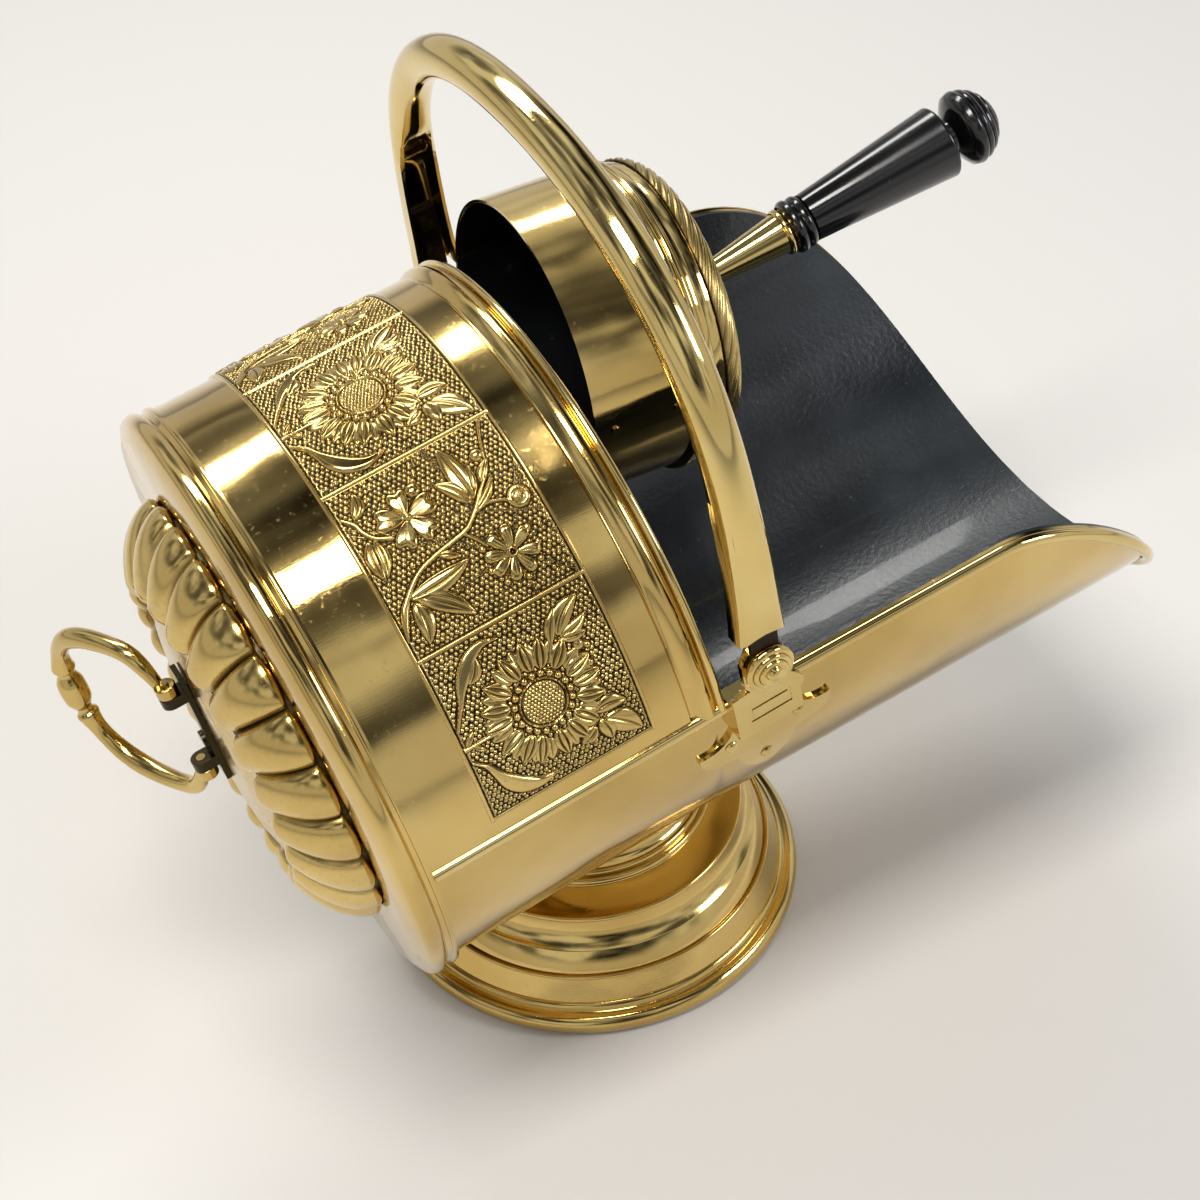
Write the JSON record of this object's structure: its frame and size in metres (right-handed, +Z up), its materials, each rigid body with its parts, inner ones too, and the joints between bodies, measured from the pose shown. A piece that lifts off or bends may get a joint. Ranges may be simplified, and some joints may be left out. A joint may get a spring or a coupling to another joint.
{
  "type": "coal scuttle",
  "caption": "Drum-shaped brass coal scuttle on a spun foot, with embossed hood, pouring lip, gadrooned boss, hoop handle, tipping handle and a scoop stowed in its mouth.",
  "frame": {"origin": "centre of the foot, on the floor", "axes": "+X out of the pouring lip, +Y to the side that the stowed scoop leans against, +Z up"},
  "size_m": [0.4705, 0.2928, 0.4506],
  "materials": {
    "lacquered_brass": "polished and lacquered sheet, lightly toned",
    "bright_brass": "bright polished",
    "cast_brass": "cast, darkened in the hollows",
    "black_lining": "black satin paint on sheet steel",
    "ebonised_wood": "turned and stained, gloss black",
    "plain_steel": "plain, dull",
    "dark_steel": "darkened flat bar"
  },
  "bodies": {
    "scuttle": {"foot": "lacquered_brass", "foot_neck": "lacquered_brass", "foot_bridge": "plain_steel", "foot_bolt": "plain_steel", "foot_nut": "plain_steel", "trough_shell": "lacquered_brass", "trough_lining": "black_lining", "lip_bead": "bright_brass", "side_beads": "bright_brass", "hood_shell": "lacquered_brass", "hood_wire": "bright_brass", "hood_lining": "black_lining", "end_plate": "lacquered_brass", "end_lining": "black_lining", "end_boss": "bright_brass", "bracket_right": "bright_brass", "bracket_left": "bright_brass", "bracket_rivets": "bright_brass", "pivot_screw_right": "bright_brass", "pivot_screw_left": "bright_brass", "pivot_nut_right": "plain_steel", "pivot_nut_left": "plain_steel", "tip_plate": "cast_brass", "tip_bolt": "cast_brass", "tip_pins": "cast_brass"},
    "hoop": {"bail": "bright_brass", "bail_strap_right": "dark_steel", "bail_strap_left": "dark_steel", "bail_rivets": "cast_brass"},
    "tipping_loop": {"tip_loop": "cast_brass"},
    "scoop": {"scoop_blade": "lacquered_brass", "scoop_hood": "lacquered_brass", "scoop_rivets": "bright_brass", "scoop_end": "bright_brass", "scoop_leaves": "cast_brass", "scoop_ferrule": "bright_brass", "scoop_collar": "ebonised_wood", "scoop_grip": "ebonised_wood", "scoop_knob": "ebonised_wood", "scoop_tang": "plain_steel", "scoop_nut": "plain_steel"}
  },
  "joints": [
    {"name": "hoop_swing", "type": "hinge", "parent": "scuttle", "child": "hoop", "pos_m": [0.01524, 0, 0.25918], "axis": [0, 1, 0], "range_deg": [0, 50]},
    {"name": "tipping_swing", "type": "hinge", "parent": "scuttle", "child": "tipping_loop", "pos_m": [-0.17871, 0, 0.20583], "axis": [-0.1464, 0.1392, 0.9794], "range_deg": [-22, 140]},
    {"name": "scoop_draw", "type": "slide", "parent": "scuttle", "child": "scoop", "axis": [0.989, 0, 0.1478], "range_m": [0, 0.16]}
  ]
}
